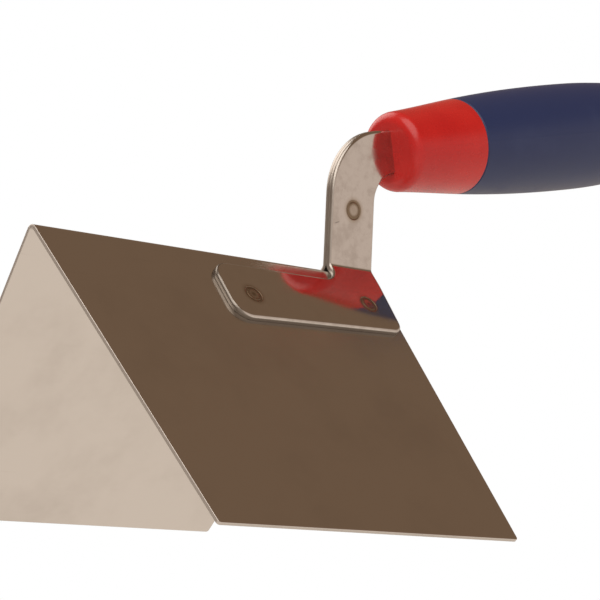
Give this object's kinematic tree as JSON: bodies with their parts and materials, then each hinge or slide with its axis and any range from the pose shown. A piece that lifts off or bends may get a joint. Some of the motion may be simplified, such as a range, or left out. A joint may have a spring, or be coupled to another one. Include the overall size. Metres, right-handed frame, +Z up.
{
  "type": "corner trowel",
  "caption": "Corner trowel with a folded stainless steel blade, a spot-welded cranked bracket and a soft-grip handle with a hard collar and a hanging hole.",
  "frame": {"origin": "on the plane that the wings' lower edges stand on, under the middle of the overall length and on the plane between the two wings", "axes": "+X along the ridge from the toe to the heel and on towards the handle's tail, +Y across the wings, +Z up from the wings' lower edges to the handle"},
  "size_m": [0.2574, 0.1178, 0.1459],
  "materials": {
    "blade_steel": "polished stainless sheet",
    "bracket_steel": "satin stainless strip with spot-weld marks",
    "weld_metal": "fused weld metal, hidden between the sheets",
    "core_plastic": "glossy red moulded plastic",
    "grip_rubber": "satin dark blue soft grip"
  },
  "bodies": {
    "root": {"blade": "blade_steel", "near_bracket_leaf": "bracket_steel", "far_bracket_leaf": "bracket_steel", "neck_weld": "weld_metal", "tang_weld": "weld_metal", "near_front_foot_weld": "weld_metal", "near_rear_foot_weld": "weld_metal", "far_front_foot_weld": "weld_metal", "far_rear_foot_weld": "weld_metal", "handle_core": "core_plastic", "soft_grip": "grip_rubber"}
  },
  "joints": []
}
